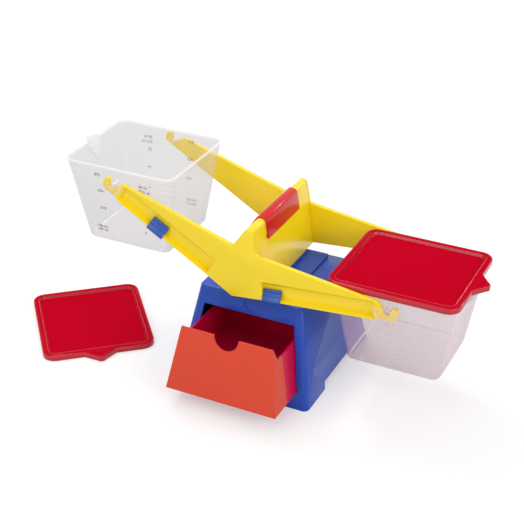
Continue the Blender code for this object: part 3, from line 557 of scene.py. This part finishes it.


# Spout crease highlights
# Where the spout meets the end wall, thin whitish rods paint the highlights along the plastic's folds,
# two up to the rim and one along the spout's keel. The spouts point away from the balance's middle.
CREASE_RADIUS = 0.0006
CREASE_CLEARNESS = 0.35
CREASE_SIDES = 8
CREASE_INSET = 0.0012
SPOUT_HALF_WIDTH = 0.0140
SPOUT_REACH = 0.0095
SPOUT_DEPTH = 0.0245
RIM_HALF_LENGTH = 0.0651
BOTTOM_HALF_LENGTH = 0.0491
END_LEAN = (RIM_HALF_LENGTH - BOTTOM_HALF_LENGTH) / BUCKET_HEIGHT
CREASE_END = RIM_HALF_LENGTH - CREASE_INSET
CREASE_TOPS = ((0.0, -SPOUT_HALF_WIDTH), (0.0, SPOUT_HALF_WIDTH), (SPOUT_REACH, 0.0))

# The rods are painted highlights, in the tubs' whitish clear plastic.
crease_clear = thin_clear_plastic("crease_clear", CREASE_CLEARNESS)
for node, pin in PINS.items():
    side = math.copysign(1.0, pin[0])
    foot_x = side * (CREASE_END - SPOUT_DEPTH * END_LEAN)
    foot = Vector((foot_x, 0.0, RIM_ABOVE_PIN - SPOUT_DEPTH)) + Vector(pin)
    folds = []
    for reach, across in CREASE_TOPS:
        top = Vector((side * (CREASE_END + reach), across, RIM_ABOVE_PIN - LIP_HEIGHT)) + Vector(pin)
        run = top - foot
        deselect_all()
        bpy.ops.mesh.primitive_circle_add(vertices=CREASE_SIDES, radius=CREASE_RADIUS, fill_type="NGON",
                                          location=foot, rotation=run.to_track_quat("Z", "Y").to_euler())
        fold = bpy.context.object
        length = fold.modifiers.new("fold length", "SOLIDIFY")
        length.thickness = run.length
        length.offset = 1.0
        bpy.ops.object.modifier_apply(modifier=length.name)
        folds.append(fold)
    creases = joined(folds, node + "_spout_creases")
    bpy.ops.object.shade_smooth_by_angle(angle=SMOOTH_ANGLE)
    creases.data.materials.append(crease_clear)
    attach(creases, node)


# Bucket marks
# Each long wall of the left bucket has small dark numbers in two columns, millilitres and ounces.
# Both buckets have fine moulded lines for every two ounces. Each stands at its true fill height.
BUCKET_RIM_INSIDE = (0.1266, 0.1136)
BUCKET_BOTTOM_INSIDE = (0.0946, 0.0852)
BUCKET_FLOOR = 0.002
WALL_BOTTOM_Y = 0.0444
WALL_RIM_Y = 0.0586
WALL_LEAN = math.atan((WALL_RIM_Y - WALL_BOTTOM_Y) / BUCKET_HEIGHT)
MILLILITRE = 0.000001
OUNCE = 29.57 * MILLILITRE
FILL_STEP = 0.0002
MARK_GREY = (0.06, 0.06, 0.07)
MARK_SHINE_SPREAD = 0.2
MARK_CLEARNESS = 0.30
MARK_SIZE = 0.0046
MARK_PROUD = 0.0001
MARK_CURVE_STEPS = 2
MARK_ROWS = ((-0.0238, 875 * MILLILITRE, "875"), (-0.0229, 625 * MILLILITRE, "625"),
             (-0.0231, 375 * MILLILITRE, "375"), (-0.0283, 140 * MILLILITRE, "140 ml"),
             (-0.0283, 100 * MILLILITRE, "100 ml"), (0.0300, 28 * OUNCE, "28 oz"),
             (0.0310, 25.5 * OUNCE, "25.5 oz"), (0.0270, 22 * OUNCE, "22"),
             (0.0264, 14 * OUNCE, "14"), (0.0260, 6 * OUNCE, "6"))
LINE_STEP = 2
LINE_OUNCES = range(4, 30, LINE_STEP)
LINE_START = -0.0150
LINE_ENDS = (0.0130, 0.0200)
LINE_WIDTH = 0.0003
LINE_CLEARNESS = 0.80


def fill_height(volume):
    """The height over the pins that a volume fills a bucket to."""
    height = BUCKET_FLOOR
    held = 0.0
    while held < volume:
        share = height / BUCKET_HEIGHT
        length, width = (low + (high - low) * share
                         for low, high in zip(BUCKET_BOTTOM_INSIDE, BUCKET_RIM_INSIDE))
        held += length * width * FILL_STEP
        height += FILL_STEP
    return height - BUCKET_HEIGHT + RIM_ABOVE_PIN


def wall_y(height):
    """The front wall's outer face at a height over the pins."""
    share = (height - RIM_ABOVE_PIN) / BUCKET_HEIGHT + 1.0
    return -(WALL_BOTTOM_Y + (WALL_RIM_Y - WALL_BOTTOM_Y) * share)


def wall_numbers():
    """The numbers of one wall, round the pin."""
    numbers = []
    for along, volume, words in MARK_ROWS:
        height = fill_height(volume)
        deselect_all()
        bpy.ops.object.text_add(location=(along, wall_y(height), height),
                                rotation=(math.pi / 2 + WALL_LEAN, 0.0, 0.0))
        number = bpy.context.object
        number.data.body = words
        number.data.align_x = "CENTER"
        number.data.align_y = "CENTER"
        number.data.size = MARK_SIZE
        number.data.extrude = MARK_PROUD
        number.data.resolution_u = MARK_CURVE_STEPS
        bpy.ops.object.convert(target="MESH")
        numbers.append(bpy.context.object)
    return joined(numbers, "wall_numbers")


def wall_lines():
    """The fine lines of one wall, round the pin, by turns short and long."""
    lines = []
    for ounces in LINE_OUNCES:
        height = fill_height(ounces * OUNCE)
        end = LINE_ENDS[ounces // LINE_STEP % len(LINE_ENDS)]
        deselect_all()
        bpy.ops.mesh.primitive_cube_add(size=1.0, scale=(end - LINE_START, 2 * MARK_PROUD, LINE_WIDTH),
                                        rotation=(WALL_LEAN, 0.0, 0.0),
                                        location=((LINE_START + end) / 2, wall_y(height), height))
        lines.append(bpy.context.object)
    return joined(lines, "wall_lines")


def on_both_walls(make_wall, node, name, finish):
    """Put one wall's marks on the front wall and, turned round, on the back wall."""
    front = make_wall()
    back = make_wall()
    back.rotation_euler = (0.0, 0.0, math.pi)
    marks = joined([front, back], node + name)
    marks.location = PINS[node]
    make_active(marks)
    bpy.ops.object.transform_apply(location=True, rotation=True, scale=True)
    marks.data.materials.clear()
    marks.data.materials.append(finish)
    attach(marks, node)


def mark_ink(name, clearness):
    """Thin dark print through which the tub still shows."""
    finish, place = blank_finish(name)
    waves = noise(place, WAVE_SPACING, WAVE_DETAIL)
    feed(shader_of(finish), {"Base Color": (*MARK_GREY, 1.0),
                             "Roughness": BUCKET_ROUGHNESS + waves * MARK_SHINE_SPREAD,
                             "Alpha": clamped(clear_cover(place, clearness))})
    return finish


mark_grey = mark_ink("mark_grey", MARK_CLEARNESS)
line_clear = thin_clear_plastic("line_clear", LINE_CLEARNESS)
on_both_walls(wall_numbers, "bucket_left", "_numbers", mark_grey)
for node in PINS:
    on_both_walls(wall_lines, node, "_lines", line_clear)


# Lids
# Two red lids with a sunk panel, a skirt that grips the rim and a tab over the spout. One is on the
# right bucket and the other lies beside the balance. Their rounded edges are more polished.
LID_RED = (0.500, 0.002, 0.016)
LID_ROUGHNESS = 0.24
LID_SPECULAR = 0.0
LID_POLISH_ROUGHNESS = 0.10
LID_FLAT_LEVEL = 0.985
LID_POLISH_SHARPNESS = 12.0
LID_EDGE_ROUNDING = 0.0003

lid_red = moulded_plastic("lid_red", LID_RED, LID_ROUGHNESS, LID_SPECULAR)
lid_level = axis_of(surface(lid_red, "Normal"), "Z")
feed(shader_of(lid_red), {"Coat Weight": clamped((LID_FLAT_LEVEL - lid_level) * LID_POLISH_SHARPNESS),
                          "Coat Roughness": LID_POLISH_ROUGHNESS})
for node in ("lid_left", "lid_right"):
    dressed(node, node, lid_red, LID_EDGE_ROUNDING)


# Stage
# A plain white floor that keeps the object's shadow, soft studio lamps and the camera at the
# photograph's viewing angle.
FLOOR_SIZE = 8.0
FLOOR_WHITE = 0.65
FLOOR_LIFT = 0.37
SHADOW_REACH = 0.45
WORLD_WHITE = (1.0, 1.0, 1.0, 1.0)
WORLD_STRENGTH = 0.66
CAMERA_PLACE = (0.4832, -1.0187, 0.7574)
CAMERA_AZIMUTH = math.radians(26.07)
CAMERA_ELEVATION = math.radians(29.675)
CAMERA_LENS = 85.18
CAMERA_SENSOR = 36.0
LAMP_AIM = Vector((0.0, 0.0, 0.08))
LAMPS = (
    ("key_lamp", (-0.5, -1.6, 1.4), 1.6, 9.5),
    ("fill_lamp", (1.8, -0.8, 1.2), 1.4, 16.0),
    ("back_lamp", (-0.7, 0.6, 1.6), 0.6, 9.5),
    ("edge_lamp", (0.96, 2.03, 1.46), 0.35, 6.0),
)


def backdrop_rays(wire):
    """1 for the rays that show the backdrop: the camera's, and those of gloss and of glass."""
    camera_ray, glossy_ray, through_ray = (
        wire.add("ShaderNodeLightPath", None, None, f"Is {kind} Ray")
        for kind in ("Camera", "Glossy", "Transmission"))
    return clamped(camera_ray + glossy_ray + through_ray)


deselect_all()
bpy.ops.mesh.primitive_plane_add(size=FLOOR_SIZE, location=(0.0, 0.0, cad_box[0][2]))
floor = bpy.context.object
floor.name = "stage_floor"
floor_white, floor_place = blank_finish("floor_white")
floor_white.node_tree.nodes.remove(shader_of(floor_white))
matt = floor_place.add("ShaderNodeBsdfDiffuse", None, {"Color": (FLOOR_WHITE, FLOOR_WHITE, FLOOR_WHITE, 1.0)})
walls_passed = clamped(floor_place.add("ShaderNodeLightPath", None, None, "Transparent Depth"))
distance = floor_place.add("ShaderNodeVectorMath", {"operation": "LENGTH"}, {0: floor_place}, "Value")
lift = FLOOR_LIFT + clamped(distance - SHADOW_REACH) * (1.0 - FLOOR_LIFT)
glow = floor_place.add("ShaderNodeEmission", None,
                       {"Color": lift, "Strength": backdrop_rays(floor_place) * (1.0 - walls_passed)})
lifted = floor_place.add("ShaderNodeAddShader", None, {0: matt, 1: glow})
feed(floor_white.node_tree.nodes["Material Output"], {"Surface": lifted})
floor.data.materials.append(floor_white)

world = bpy.data.worlds.new("studio_white")
world.use_nodes = True
bpy.context.scene.world = world
camera_white = backdrop_rays(Wire(world.node_tree))
feed(world.node_tree.nodes["Background"],
     {"Color": WORLD_WHITE, "Strength": WORLD_STRENGTH + camera_white * (1.0 - WORLD_STRENGTH)})

for name, place, size, power in LAMPS:
    deselect_all()
    bpy.ops.object.light_add(type="AREA", location=place)
    lamp = bpy.context.object
    lamp.name = name
    lamp.data.size = size
    lamp.data.energy = power
    lamp.rotation_euler = (LAMP_AIM - Vector(place)).to_track_quat("-Z", "Y").to_euler()

bpy.ops.object.camera_add(location=CAMERA_PLACE,
                          rotation=(math.pi / 2 - CAMERA_ELEVATION, 0.0, CAMERA_AZIMUTH))
camera = bpy.context.object
camera.data.lens = CAMERA_LENS
camera.data.sensor_width = CAMERA_SENSOR
bpy.context.scene.camera = camera
bpy.context.scene.view_settings.view_transform = "Standard"
